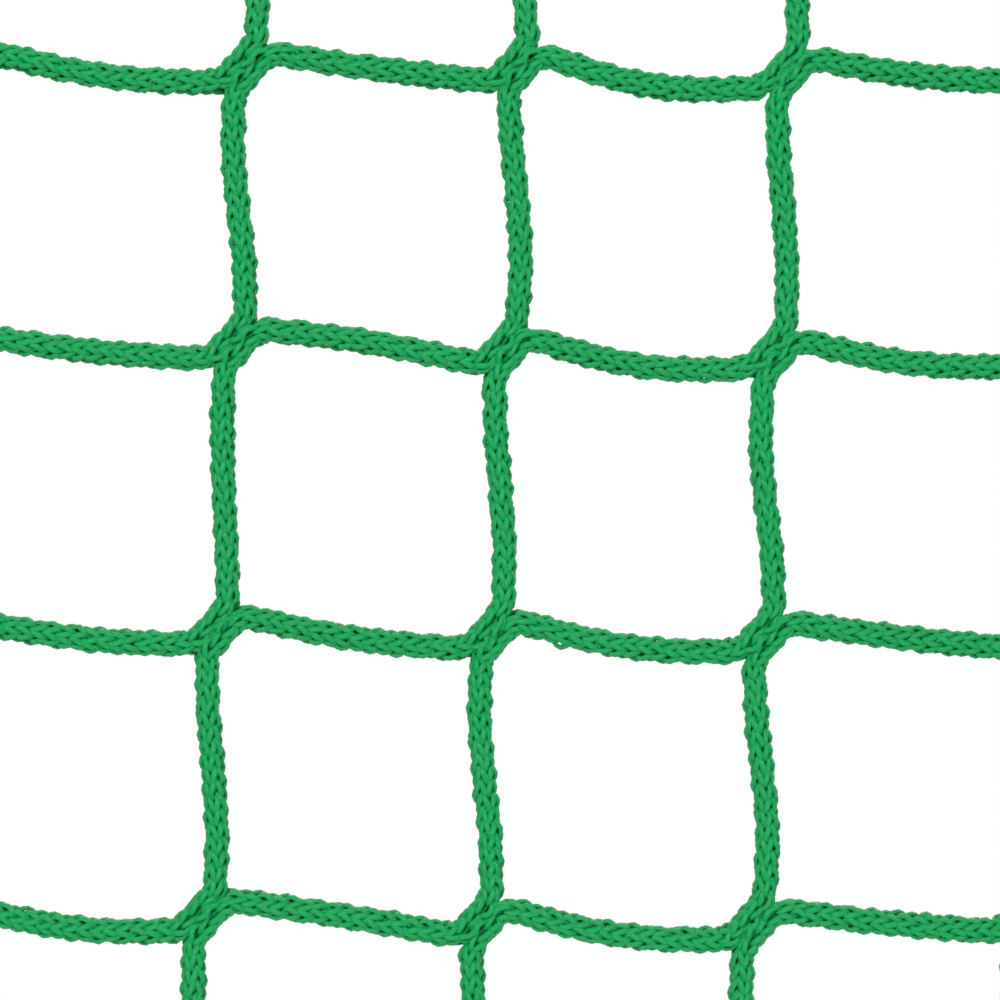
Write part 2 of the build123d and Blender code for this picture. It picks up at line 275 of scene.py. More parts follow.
# Yarn of fine filaments: ridges run along the yarn with a slight twist, the colour varies a
# little from stitch to stitch and over the panel, and the filaments have a soft sheen
def yarnMaterial(name, look):
    material = bpy.data.materials.new(name)
    material.use_nodes = True
    nodes, links = material.node_tree.nodes, material.node_tree.links
    shader = nodes["Principled BSDF"]
    shader.inputs["Roughness"].default_value = look["roughness"]
    shader.inputs["Specular IOR Level"].default_value = look["specular"]
    shader.inputs["Sheen Weight"].default_value = look["sheen"]
    shader.inputs["Sheen Roughness"].default_value = yarnBase["sheenRoughness"]
    shader.inputs["Sheen Tint"].default_value = (*look["sheenTint"], 1)
    shader.inputs["Subsurface Weight"].default_value = look["glow"]
    shader.inputs["Subsurface Radius"].default_value = yarnBase["glowSpread"]
    shader.inputs["Subsurface Scale"].default_value = yarnBase["glowDepth"]

    # A new node with its properties and sockets set, a socket's name with _ for its spaces
    def node(kind, **values):
        made = nodes.new(kind)
        for key, value in values.items():
            if hasattr(made, key):
                setattr(made, key, value)
            else:
                made.inputs[key.replace("_", " ")].default_value = value
        return made

    yarn = node("ShaderNodeAttribute", attribute_name="yarn")
    tone = node("ShaderNodeAttribute", attribute_name="tone")
    place = node("ShaderNodeTexCoord")
    # filaments: turn (cos, sin) with the distance, then squeeze the distance
    parts = node("ShaderNodeSeparateXYZ")
    twistAngle = node("ShaderNodeMath", operation="MULTIPLY")
    twistAngle.inputs[1].default_value = look["twist"]
    turned = node("ShaderNodeVectorRotate", rotation_type="Z_AXIS")
    stretch = node("ShaderNodeVectorMath", operation="MULTIPLY")
    stretch.inputs[1].default_value = (1, 1, look["filamentRun"])
    links.new(yarn.outputs["Vector"], parts.inputs[0])
    links.new(parts.outputs["Z"], twistAngle.inputs[0])
    links.new(yarn.outputs["Vector"], turned.inputs["Vector"])
    links.new(twistAngle.outputs[0], turned.inputs["Angle"])
    links.new(turned.outputs[0], stretch.inputs[0])
    filaments = node("ShaderNodeTexNoise", Scale=look["filaments"], Detail=yarnBase["noiseDetail"],
                     Roughness=yarnBase["noiseRoughness"])
    links.new(stretch.outputs[0], filaments.inputs["Vector"])
    # colour: dark to light with the stitch's tone, its filaments and slow patches
    patches = node("ShaderNodeTexNoise", Scale=look["patches"], Detail=yarnBase["noiseDetail"])
    links.new(place.outputs["Object"], patches.inputs["Vector"])
    streaked = node("ShaderNodeMath", operation="MULTIPLY_ADD")
    links.new(filaments.outputs["Fac"], streaked.inputs[0])
    streaked.inputs[1].default_value = look["filamentShade"]
    links.new(tone.outputs["Fac"], streaked.inputs[2])
    patched = node("ShaderNodeMath", operation="MULTIPLY_ADD")
    links.new(patches.outputs["Fac"], patched.inputs[0])
    patched.inputs[1].default_value = look["patchShade"]
    links.new(streaked.outputs[0], patched.inputs[2])
    ramp = node("ShaderNodeValToRGB")
    ramp.color_ramp.elements[0].position = look["rampFrom"]
    ramp.color_ramp.elements[0].color = (*look["dark"], 1)
    ramp.color_ramp.elements[1].position = look["rampTo"]
    ramp.color_ramp.elements[1].color = (*look["light"], 1)
    links.new(patched.outputs[0], ramp.inputs["Fac"])
    links.new(ramp.outputs["Color"], shader.inputs["Base Color"])
    bump = node("ShaderNodeBump", Strength=look["bump"], Distance=look["bumpDepth"])
    links.new(filaments.outputs["Fac"], bump.inputs["Height"])
    links.new(bump.outputs["Normal"], shader.inputs["Normal"])
    return material


nettingYarn = yarnMaterial("netting_yarn", {
    "dark": (0.001, 0.14, 0.022), "light": (0.001, 0.28, 0.072),
    "roughness": 0.30, "specular": 0.24, "glow": 0.05,
    "sheen": 0.04, "sheenTint": (0.25, 0.9, 0.55),
    "twist": 0.9, "filaments": 5.0, "filamentRun": 0.12, "filamentShade": 1.0,
    "patches": 28.0, "patchShade": 0.3, "rampFrom": 0.70, "rampTo": 1.45,
    "bump": 0.7, "bumpDepth": 0.0003,
})
ropeYarn = yarnMaterial("border_rope_yarn", {
    "dark": (0.001, 0.10, 0.02), "light": (0.006, 0.29, 0.075),
    "roughness": 0.42, "specular": 0.2, "glow": 0.05,
    "sheen": 0.03, "sheenTint": (0.006, 0.29, 0.075),
    "twist": 0.25, "filaments": 5.0, "filamentRun": 0.05, "filamentShade": 0.6,
    "patches": 20.0, "patchShade": 0.3, "rampFrom": 0.45, "rampTo": 1.2,
    "bump": 0.5, "bumpDepth": 0.0005,
})
twineYarn = yarnMaterial("twine_yarn", {
    "dark": (0.001, 0.075, 0.016), "light": (0.005, 0.21, 0.055),
    "roughness": 0.5, "specular": 0.2, "glow": 0.03,
    "sheen": 0.05, "sheenTint": (0.005, 0.21, 0.055),
    "twist": 1.6, "filaments": 3.0, "filamentRun": 0.1, "filamentShade": 0.6,
    "patches": 20.0, "patchShade": 0.2, "rampFrom": 0.4, "rampTo": 1.1,
    "bump": 0.6, "bumpDepth": 0.0004,
})


# The finish of the four thimbles
thimble = {
    "grain": 900.0, "grainDetail": 4.0, "grainBump": 0.25, "grainDepth": 0.0002,
    "rubbing": 160.0, "rubbingDetail": 6.0,
    "dull": (0.30, 0.31, 0.32), "bright": (0.46, 0.47, 0.48),
    "dullBelow": 0.3, "brightAbove": 0.7,  # of the rubbing's noise
    "roughness": (0.36, 0.56),
}


# Cast aluminium: a fine grain all over, and patches rubbed brighter
def thimbleMaterial():
    material = bpy.data.materials.new("thimble_aluminium")
    material.use_nodes = True
    nodes, links = material.node_tree.nodes, material.node_tree.links
    shader = nodes["Principled BSDF"]
    shader.inputs["Metallic"].default_value = 1.0
    place = nodes.new("ShaderNodeTexCoord")
    grain = nodes.new("ShaderNodeTexNoise")
    grain.inputs["Scale"].default_value = thimble["grain"]
    grain.inputs["Detail"].default_value = thimble["grainDetail"]
    rubbing = nodes.new("ShaderNodeTexNoise")
    rubbing.inputs["Scale"].default_value = thimble["rubbing"]
    rubbing.inputs["Detail"].default_value = thimble["rubbingDetail"]
    links.new(place.outputs["Object"], grain.inputs["Vector"])
    links.new(place.outputs["Object"], rubbing.inputs["Vector"])
    tint = nodes.new("ShaderNodeValToRGB")
    tint.color_ramp.elements[0].position = thimble["dullBelow"]
    tint.color_ramp.elements[0].color = (*thimble["dull"], 1)
    tint.color_ramp.elements[1].position = thimble["brightAbove"]
    tint.color_ramp.elements[1].color = (*thimble["bright"], 1)
    links.new(rubbing.outputs["Fac"], tint.inputs["Fac"])
    links.new(tint.outputs["Color"], shader.inputs["Base Color"])
    rough = nodes.new("ShaderNodeMapRange")
    rough.inputs["To Min"].default_value, rough.inputs["To Max"].default_value = thimble["roughness"]
    links.new(rubbing.outputs["Fac"], rough.inputs["Value"])
    links.new(rough.outputs["Result"], shader.inputs["Roughness"])
    bump = nodes.new("ShaderNodeBump")
    bump.inputs["Strength"].default_value = thimble["grainBump"]
    bump.inputs["Distance"].default_value = thimble["grainDepth"]
    links.new(grain.outputs["Fac"], bump.inputs["Height"])
    links.new(bump.outputs["Normal"], shader.inputs["Normal"])
    return material


thimbleMetal = thimbleMaterial()
for name, node in frame["nodes"].items():
    if name.startswith("thimble"):
        node.data.materials.clear()
        node.data.materials.append(thimbleMetal)
print("materials made")

# The camera looks squarely at the front of the net
view = {
    "width": 216.0,  # the view's width at the net
    "lens": 100.0,
    "sensor": 36.0,
    "near": 0.01,  # nothing nearer than this is seen
    "acrossFromJoint": 54.3,  # the view's middle from the second joint of the second row
    "belowJoint": 92.9,
}
camera = bpy.data.objects.new("camera", bpy.data.cameras.new("camera"))
bpy.context.scene.collection.objects.link(camera)
aim = jointAt(1, 1) + np.array([view["acrossFromJoint"], -view["belowJoint"]])
camera.data.lens = view["lens"]
camera.data.sensor_width = view["sensor"]
cameraDistance = view["width"] * view["lens"] / camera.data.sensor_width
camera.location = (aim[0] * mm, -cameraDistance * mm, aim[1] * mm)
camera.rotation_euler = (radians(90), 0, 0)
camera.data.clip_start = view["near"]
bpy.context.scene.camera = camera

# Soft lamps in front and behind, each turned to the view's middle
lights = {
    "key": {"at": (-0.35, -1.05, 0.45), "size": 0.45, "power": 15.5},
    "fill": {"at": (0.9, -0.9, -0.1), "size": 0.9, "power": 6.0},
    "back": {"at": (0.3, 0.9, 0.2), "size": 1.6, "power": 15.0},
}
for lightName, light in lights.items():
    lamp = bpy.data.lights.new(lightName, "AREA")
    lamp.energy, lamp.size = light["power"], light["size"]
    lampObject = bpy.data.objects.new(lightName, lamp)
    bpy.context.scene.collection.objects.link(lampObject)
    lampObject.location = light["at"]
    target = np.array([aim[0] * mm, 0, aim[1] * mm]) - np.array(light["at"])
    lampObject.rotation_euler = (
        acos(-target[2] / np.linalg.norm(target)), 0, np.arctan2(target[1], target[0]) - pi / 2)

# The studio's white walls, seen at one strength and lighting the net at another
studio = {"colour": (1, 1, 1, 1), "seen": 1.0, "lighting": 0.45}
world = bpy.data.worlds.new("studio")
bpy.context.scene.world = world
world.use_nodes = True
worldNodes, worldLinks = world.node_tree.nodes, world.node_tree.links
seen = worldNodes["Background"]
seen.inputs["Color"].default_value = studio["colour"]
seen.inputs["Strength"].default_value = studio["seen"]
lit = worldNodes.new("ShaderNodeBackground")
lit.inputs["Color"].default_value = studio["colour"]
lit.inputs["Strength"].default_value = studio["lighting"]
ray = worldNodes.new("ShaderNodeLightPath")
mix = worldNodes.new("ShaderNodeMixShader")
worldLinks.new(ray.outputs["Is Camera Ray"], mix.inputs["Fac"])
worldLinks.new(lit.outputs[0], mix.inputs[1])
worldLinks.new(seen.outputs[0], mix.inputs[2])
worldLinks.new(mix.outputs[0], worldNodes["World Output"].inputs["Surface"])
bpy.context.scene.view_settings.view_transform = "Standard"
print("camera and lights made")

# The knitted strands, each four columns of pillar stitches round a core
knit = {
    "course": 2.95,  # length of a stitch
    "startCount": 0.25,  # stitch count at the middle of a strand's first joint
    "columnAngle": 38.0,  # front columns stand this far each side of the strand's front
    "armAngle": 31.0,  # the two arms of a stitch stand this far each side of its column
    "deep": 0.95,  # radius of the yarn's middle inside the strand
    "surface": 2.32,  # and on its surface
    "flatness": 0.92,  # a strand's thickness, as a share of its width
    "yarnWidth": 1.5,
    "yarnThick": 1.15,
    "twist": 16.0,  # a strand turns this far to either side
    "twistRun": 43.0,  # and back again over this length
    "unevenLength": 0.10, "unevenWidth": 0.15, "unevenDepth": 0.09,  # from stitch to stitch
    "tone": 0.5, "unevenTone": 0.11,
    "swing": 0.22,  # alternate stitches lean this far to either side
    "bulge": 0.08,  # and in turn stand out or draw in at the strand's edge, by this share
    "slack": 0.18,  # a slack stitch stands out there by this share more
    "slackShare": 0.005,  # of all stitches
    "samples": 16,  # path points a stitch
    "sides": 6,
    "coreRadius": 1.25,
    # painted light: the core is a little lighter than the stitches, to lift the shade in the gaps between them
    "coreGapShadeTone": 0.6,
    "levelWider": 0.05,  # a level leg is wider by this share
    "jointReach": 6.0,  # knitting changes over this far each side of a joint's middle
    "flatten": 0.35,  # arms in a joint run more nearly along it, by this share
    "squeeze": 0.04,  # a strand is narrower by this share in a joint
    "reach": 1.1,  # arms beside a joint's seam cross it by this much
    "lift": 0.35,  # and stand out or lie deeper there by this much
}
# A pillar stitch, as key points of its yarn over one course: how far along the strand (in
# courses), how far across its column (1 is the outer side, -1 the inner), and how far out from
# the strand's middle (0 deep inside, 1 on the surface)
stitchKeys = [
    # along, across, out
    (0.00, 0.00, 0.15),
    (0.32, 0.22, 0.75),
    (0.78, 0.72, 1.00),
    (1.18, 1.02, 0.72),
    (1.42, 0.55, 0.30),
    (1.46, -0.45, 0.30),
    (1.20, -1.02, 0.72),
    (0.80, -0.74, 1.00),
    (0.34, -0.24, 0.75),
    (0.06, -0.05, 0.15),
    (0.45, 0.10, 0.00),
    (1.00, 0.00, 0.15),
]


# The corners of a strand's whole way down the panel and their radii, the joints it visits and how
# each leg between them swings. It visits a joint either as the upper strand, from above to the
# left, or as the lower one, from the right to below.
def strandRoute(row, column):
    lower = column == columnCount
    if lower:
        column -= 1
    trim = -diagonal * net["stubTrim"]
    corners, visits = [hangingJoint(row, column) + (lowerIn if lower else upperIn) + trim], []
    radii, swings = [], []
    while True:
        joint = hangingJoint(row, column)
        visits.append((joint, lower))
        if lower:
            if row == rowCount - 1:
                corners.append(joint + lowerOut - trim)
                break
            nextJoint = hangingJoint(row + 1, column)
            drop = down * net["levelDown"]
            knees = [joint + lowerOut + drop, nextJoint + upperIn - drop]
            corners += [joint + lowerOut, *knees, nextJoint + upperIn]
            inside = 0 < column < columnCount - 1
            swings.append(right * (drape["bow"][row][column - 1] if inside else 0))
            row += 1
        else:
            if column == 0:
                corners.append(joint + upperOut - trim)
                break
            nextJoint = hangingJoint(row, column - 1)
            lashed = row in (0, rowCount - 1)
            swings.append(down * (0 if lashed else drape["sag"][row][column - 1]))
            run = left * net["levelAcross"]
            knees = [joint + upperOut + run, nextJoint + lowerIn - run] if lashed else []
            corners += [joint + upperOut, *knees, nextJoint + lowerIn]
            column -= 1
        radii += [net["jointBend"], *[net["kneeBend"]] * len(knees), net["jointBend"]]
        lower = not lower
    return corners, radii, visits, swings


# A strand's route with its stitch count along it, from which all four columns are knitted
class Strand:
    def __init__(self, row, column, phase):
        self.phase = phase  # of the strand's turning to either side
        corners, radii, visits, swings = strandRoute(row, column)
        self.points = roundedRoute(corners, radii)
        self.length = lengthAlong(self.points)
        self.seams = [int(np.argmin(np.linalg.norm(self.points - joint - seam, axis=1)))
                      for joint, _ in visits]
        self.sagLegs(swings)
        self.lower = [lower for _, lower in visits]
        # stitches: a whole number and a half from one joint's middle to the next
        count = [knit["startCount"]]
        for a, b in zip(self.seams, self.seams[1:]):
            courses = (self.length[b] - self.length[a]) / knit["course"]
            count.append(count[-1] + round(courses - 0.5) + 0.5)
        at = self.length[self.seams]
        first, last = at[0] / knit["course"], (self.length[-1] - at[-1]) / knit["course"]
        self.countKnots = np.array([count[0] - first, *count, count[-1] + last])
        self.lengthKnots = np.array([0, *at, self.length[-1]])
        self.first, self.last = int(np.ceil(self.countKnots[0])), int(np.floor(self.countKnots[-1]))
        self.tangent = np.gradient(self.points, axis=0)
        self.tangent /= np.linalg.norm(self.tangent, axis=1)[:, None]

    # Each leg swings out by half a sine wave between its two joints, then the kinks where that
    # starts are smoothed by a running mean
    def sagLegs(self, swings):
        moved = np.zeros_like(self.points)
        for first, last, swing in zip(self.seams, self.seams[1:], swings):
            start, end = self.length[first] + drape["stiffRun"], self.length[last] - drape["stiffRun"]
            along = np.clip((self.length - start) / (end - start), 0, 1)
            moved += np.sin(pi * along)[:, None] * swing
        steps = int(drape["smooth"] / np.median(np.diff(self.length)))
        blur = np.hanning(steps + 2)[1:-1]
        blur /= blur.sum()
        self.points = self.points + np.stack([np.convolve(moved[:, i], blur, "same") for i in (0, 1)], 1)
        self.length = lengthAlong(self.points)

    # Place, direction and length along the strand at each stitch count
    def at(self, count):
        s = np.interp(count, self.countKnots, self.lengthKnots)
        middle = np.stack([np.interp(s, self.length, self.points[:, i]) for i in (0, 1)], -1)
        along = np.stack([np.interp(s, self.length, self.tangent[:, i]) for i in (0, 1)], -1)
        along /= np.linalg.norm(along, axis=-1)[..., None]
        # beyond an end the route runs straight on
        extra = (count - np.clip(count, self.countKnots[0], self.countKnots[-1])) * knit["course"]
        return middle + along * extra[..., None], along, s

    # Nearness to the joints, 1 at a joint's middle and 0 on the legs, and the same with the sign
    # of the seam's side
    def nearSeam(self, s):
        near, side = np.zeros_like(s), np.zeros_like(s)
        for index, lower in zip(self.seams, self.lower):
            bump = np.exp(-((s - self.length[index]) / knit["jointReach"]) ** 4)
            near += bump
            side += bump * (-1 if lower else 1)
        return near, side

    # The stitch count where the strand crosses a height, on the leg that hangs there
    def countAtHeight(self, z):
        below = np.nonzero((self.points[:-1, 1] >= z) & (self.points[1:, 1] < z))[0]
        if not len(below):
            return None
        return float(np.interp(self.length[below[0]], self.lengthKnots, self.countKnots))


# The yarn of one column between two stitch counts. Its path is the stitch's loop, laid on the
# strand: the angle round the strand follows from the column and how far across the yarn is, the
# radius from how far out it is, and the place along it from the stitch count. Each stitch has
# five wobbles, from -1 to 1: of its length, width, lean, depth and tone.
def columnYarn(strand, first, last, front, outer, wobbles):
    samples = knit["samples"]
    steps = np.arange((last - first) * samples + 1)
    stitch = np.minimum(steps // samples, last - first - 1) + first
    t = (steps - (stitch - first) * samples) / samples
    keys = throughKeys(stitchKeys, t)
    wobble = wobbles[stitch - strand.first]
    tilt = knit["swing"] * np.cos(pi * stitch) * outer
    count = stitch + keys[:, 0] + (0.0 if front else 0.5)
    count += knit["unevenLength"] * wobble[:, 0] * np.sin(pi * t)
    across = keys[:, 1] * (1 + knit["unevenWidth"] * wobble[:, 1])
    across += (tilt + knit["unevenWidth"] * wobble[:, 2]) * np.sin(pi * t)
    middle, along, s = strand.at(count)
    near, side = strand.nearSeam(s)
    across = across * (1 - knit["flatten"] * near)
    angle = np.radians(knit["columnAngle"] + knit["armAngle"] * across) * outer
    angle = angle if front else pi - angle
    angle += radians(knit["twist"]) * np.sin(2 * pi * s / knit["twistRun"] + strand.phase) * (1 - near)
    unevenOut = keys[:, 2] * (1 + knit["unevenDepth"] * wobble[:, 3])
    radius = knit["deep"] + (knit["surface"] - knit["deep"]) * unevenOut
    slack = knit["slack"] * (wobble[:, 3] > 1 - 2 * knit["slackShare"])
    bulge = 1 + (knit["bulge"] * tilt / knit["swing"] + slack) * np.clip(across, 0, 1)
    wider = 1 + knit["levelWider"] * along[:, 0] ** 2 - knit["squeeze"] * near
    sideShift = radius * np.sin(angle) * wider * bulge
    outShift = radius * np.cos(angle) * knit["flatness"]
    # arms beside the seam cross over it in every other stitch and go under in the rest
    beside = np.clip(side * np.sign(sideShift), 0, 1) * np.clip(keys[:, 2], 0, 1)
    over = np.cos(pi * stitch) * np.where(side > 0, 1, -1)
    sideShift += side * beside * knit["reach"] * np.clip(over, 0, 1)
    outShift += np.sign(outShift) * beside * knit["lift"] * over
    normal = np.stack([-along[:, 1], along[:, 0]], -1)
    path = np.empty((len(steps), 3))
    path[:, [0, 2]] = middle + normal * sideShift[:, None]
    path[:, 1] = -outShift
    outward = np.empty_like(path)
    outward[:, [0, 2]] = normal * np.sin(angle)[:, None]
    outward[:, 1] = -np.cos(angle)
    tone = knit["tone"] + knit["unevenTone"] * wobble[:, 4]
    return path, outward, tone


# The four columns of a strand between two stitch counts, and the yarns inside as one core, with
# a path point at every half stitch. The core is painted a little lighter than the stitches: painted
# light that lifts the shade in the gaps between them.
def knitPiece(tubes, strand, first, last, wobbles):
    if last - first < 1:
        return
    columns = [(front, outer) for front in (True, False) for outer in (1, -1)]
    for (front, outer), columnWobbles in zip(columns, wobbles):
        path, outward, tone = columnYarn(strand, first, last, front, outer, columnWobbles)
        tubes.add(path, outward, knit["yarnWidth"], knit["yarnThick"], tone)
    count = np.arange(2 * first, 2 * last + 1) / 2
    path = np.zeros((len(count), 3))
    path[:, [0, 2]] = strand.at(count)[0]
    outward = np.tile([0.0, -1.0, 0.0], (len(count), 1))
    tubes.add(path, outward, 2 * knit["coreRadius"], 2 * knit["coreRadius"], knit["coreGapShadeTone"])


# Each strand starts at the top edge or the right edge, and is cut above and below every fold
rowTubes = [TubeMesh(knit["sides"]) for _ in range(rowCount)]
foldTubes = [TubeMesh(knit["sides"]) for _ in range(rowCount - 1)]
starts = [(0, column) for column in range(1, columnCount)]
starts += [(row, columnCount) for row in range(rowCount)]
for startRow, startColumn in starts:
    strand = Strand(startRow, startColumn, rng.uniform(0, 2 * pi))
    wobbles = rng.uniform(-1, 1, (4, strand.last - strand.first + 2, 5))
    count, row = strand.first, startRow
    for fold in range(rowCount - 1):
        top = strand.countAtHeight(foldZ[fold] + folding["cutHalf"])
        bottom = strand.countAtHeight(foldZ[fold] - folding["cutHalf"])
        if top is None or bottom is None:
            continue
        knitPiece(rowTubes[fold], strand, count, round(top), wobbles)
        knitPiece(foldTubes[fold], strand, round(top), round(bottom), wobbles)
        count, row = round(bottom), fold + 1
    knitPiece(rowTubes[row], strand, count, strand.last, wobbles)

for row, tubes in enumerate(rowTubes):
    piece = tubes.build(f"netting_row_{row + 1}", nettingYarn, "netting")
    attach(piece, bodyNames[row])
    strands = f"strand_row_{row + 1}_"
    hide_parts(*[name for name in frame["nodes"] if name.startswith(strands)])
for fold, tubes in enumerate(foldTubes):
    piece = tubes.build(f"netting_fold_{fold + 1}", nettingYarn, "netting")
    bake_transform(piece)
print("netting knitted,", sum(tubes.count for tubes in rowTubes + foldTubes), "points")

# The border rope, an eight-strand braid round the panel and its four eyes
rope = {
    "width": 8.0,
    "strandWidth": 3.1,
    "strandThick": 1.9,
    "turn": 27.0,  # length of one turn of a strand
    "weave": 0.42,  # a strand rises and falls this far from its middle radius
    "strands": 4,  # each way
    "crossSamples": 5,  # path points from one crossing to the next
    "sides": 6,
    "core": 4.4,
    "tone": 0.5, "toneApart": 0.1,  # strands of one way are lighter, of the other darker
    # painted shade: the core is dark, so the gaps between the braid's strands look deep
    "coreGapShadeTone": 0.1,
    "cornerBend": 14.0,
    "neckGap": 0.2, "neckRun": 9.0, "neckBend": 16.0, "neckFlare": 35.0,
    "eyeBend": 12.95,  # radius of the rope's middle round a thimble
}

# An eye stands out from the panel's corner on the bisector of its two edges. The rope opens out
# of the eye's neck by the flare and goes round the thimble in three equal arcs.
neckHalf = (rope["width"] + rope["neckGap"]) / 2
flare = radians(rope["neckFlare"])
neckOpens = (rope["eyeBend"] - neckHalf * cos(flare)) / sin(flare)
neckEnds = neckOpens + rope["neckBend"] * tan(flare / 2)
eyeTurn = radians(180 + 2 * rope["neckFlare"]) / 3
eyeCorner = rope["eyeBend"] / cos(eyeTurn / 2)
halfRadii = [rope["cornerBend"], rope["neckBend"], rope["eyeBend"]]
eyeRadii = [*halfRadii, rope["eyeBend"], *halfRadii[::-1]]
eyes = {mount["name"].removesuffix("_eye"): np.array(mount["pos_m"])[[0, 2]] / mm
        for mount in frame["record"]["mounts"]}


# The corners of the rope's way from one edge round an eye to the next, with the panel's corner
# there and the direction from it to the eye. First and second are the edges' directions.
def eyeRoute(middle, first, second):
    outward = -(first + second) / np.linalg.norm(first + second)
    turn = acos(-first @ outward)
    toNeck = [neckHalf / abs(way @ quarterTurn(outward)) for way in (first, second)]
    reach = neckEnds + rope["neckRun"] + rope["cornerBend"] * tan(turn / 2) + toNeck[0] * cos(turn)
    corner = middle - outward * reach
    halves = []
    for way, run in zip((first, second), toNeck):
        aside = quarterTurn(outward)
        aside = aside * np.sign(aside @ way)
        halves.append([corner + way * run, middle - outward * neckOpens + aside * neckHalf,
                       middle + (outward * cos(eyeTurn) + aside * sin(eyeTurn)) * eyeCorner])
    return halves[0] + [middle + outward * eyeCorner] + halves[1][::-1], corner, outward


topLeft = eyeRoute(eyes["top_left"], sideways, right)
topRight = eyeRoute(eyes["top_right"], left, sideways)
bottomRight = eyeRoute(eyes["bottom_right"], -sideways, left)
bottomLeft = eyeRoute(eyes["bottom_left"], right, -sideways)
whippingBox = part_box("end_whipping")
whippingX = (whippingBox[0].x + whippingBox[1].x) / 2 / mm
ropeStart = np.array([whippingX, bottomLeft[1][1]])
ropeCorners = [ropeStart, *bottomLeft[0], *topLeft[0], *topRight[0], *bottomRight[0], ropeStart]
ropePoints = roundedRoute(ropeCorners, eyeRadii * 4)
ropeLength = lengthAlong(ropePoints)
ropeTurns = round(ropeLength[-1] / rope["turn"])  # a whole number, so that the ends match


# The braid between two lengths along the rope. Four strands wind one way and four the other,
# each a helix whose radius rises and falls as a cosine, one wave to two crossings, so that every
# strand goes over one and under the next. The core inside is painted dark, as shade in the gaps
# between the strands.
def ropePiece(tubes, startLength, endLength):
    stepsPerTurn = 2 * rope["strands"] * rope["crossSamples"]
    turns = np.array([startLength, endLength]) / ropeLength[-1] * ropeTurns
    first, last = np.round(turns * stepsPerTurn).astype(int)
    turn = np.arange(first, last + 1) / stepsPerTurn
    s = turn / ropeTurns * ropeLength[-1]
    middle = np.stack([np.interp(s, ropeLength, ropePoints[:, i]) for i in (0, 1)], -1)
    along = np.gradient(ropePoints, axis=0)
    along = np.stack([np.interp(s, ropeLength, along[:, i]) for i in (0, 1)], -1)
    along /= np.linalg.norm(along, axis=1)[:, None]
    normal = np.stack([-along[:, 1], along[:, 0]], -1)

    # Points at an angle round the rope and a radius out of its middle, and the way out there
    def layOn(angle, radius):
        path, outward = np.empty((len(s), 3)), np.empty((len(s), 3))
        path[:, [0, 2]] = middle + normal * (radius * np.sin(angle))[:, None]
        path[:, 1] = -radius * np.cos(angle)
        outward[:, [0, 2]] = normal * np.sin(angle)[:, None]
        outward[:, 1] = -np.cos(angle)
        return path, outward

    outermost = rope["width"] / 2 - rope["strandThick"] / 2
    for way in (1, -1):
        for strand in range(rope["strands"]):
            angle = way * 2 * pi * turn + 2 * pi * strand / rope["strands"]
            radius = outermost - rope["weave"] * (1 - way * np.cos(rope["strands"] * 2 * pi * turn))
            path, outward = layOn(angle, radius)
            tone = rope["tone"] + rope["toneApart"] * way
            tubes.add(path, outward, rope["strandWidth"], rope["strandThick"], tone, s[0])
    # the core, painted dark as shade in the gaps between the strands
    path, outward = layOn(0 * turn, 0 * turn)
    tubes.add(path, outward, rope["core"], rope["core"], rope["coreGapShadeTone"])


panelMiddle = (cadBox[0][0] + cadBox[1][0]) / 2 / mm


# The length at which the rope passes a height, on the left going up or on the right going down
def ropeAtHeight(z, onLeft):
    z0, z1 = ropePoints[:-1, 1], ropePoints[1:, 1]
    passes = (z0 < z) & (z1 >= z) if onLeft else (z0 >= z) & (z1 < z)
    found = np.nonzero(passes & ((ropePoints[:-1, 0] < panelMiddle) == onLeft))[0]
    return ropeLength[found[0]]


# Where the rope is cut below and above each fold, on the left and on the right
halfBelow = [[ropeAtHeight(z - folding["cutHalf"], side) for z in foldZ] for side in (True, False)]
halfAbove = [[ropeAtHeight(z + folding["cutHalf"], side) for z in foldZ] for side in (True, False)]
for row in range(rowCount):
    tubes = TubeMesh(rope["sides"])
    if row == 0:
        ropePiece(tubes, halfAbove[0][0], halfAbove[1][0])
        nodes = ["rope_top"]
    elif row == rowCount - 1:
        ropePiece(tubes, 0, halfBelow[0][-1])
        ropePiece(tubes, halfBelow[1][-1], ropeLength[-1])
        nodes = ["rope_bottom"]
    else:
        ropePiece(tubes, halfAbove[0][row], halfBelow[0][row - 1])
        ropePiece(tubes, halfBelow[1][row - 1], halfAbove[1][row])
        nodes = [f"rope_left_row_{row + 1}", f"rope_right_row_{row + 1}"]
    piece = tubes.build(f"border_rope_row_{row + 1}", ropeYarn, "border_rope")
    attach(piece, bodyNames[row])
    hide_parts(*nodes)
for fold in range(rowCount - 1):
    tubes = TubeMesh(rope["sides"])
    ropePiece(tubes, halfBelow[0][fold], halfAbove[0][fold])
    ropePiece(tubes, halfAbove[1][fold], halfBelow[1][fold])
    piece = tubes.build(f"border_rope_fold_{fold + 1}", ropeYarn, "border_rope")
    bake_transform(piece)
print("border rope braided,", round(float(ropeLength[-1])), "mm long")

# The twine: lashings on the legs, seizings on the necks of the eyes, a whipping on the rope's ends
twine = {
    "width": 1.6,
    "slack": 0.1,  # clear of the cords it goes round
    "sides": 6,
    "samples": 40,  # path points a turn
    "outlinePoints": 721,  # of a turn, before they are spaced evenly
    "pitch": 1.02,  # from turn to turn, in twine widths
    "whippingWidth": 1.0,  # the whipping is of thinner twine
    "lashingTurns": 3, "seizingTurns": 5, "whippingTurns": 25,
    "afterLevelTurn": 5.6, "afterSteepTurn": 5.1,  # from a strand's corner to its lashing
}


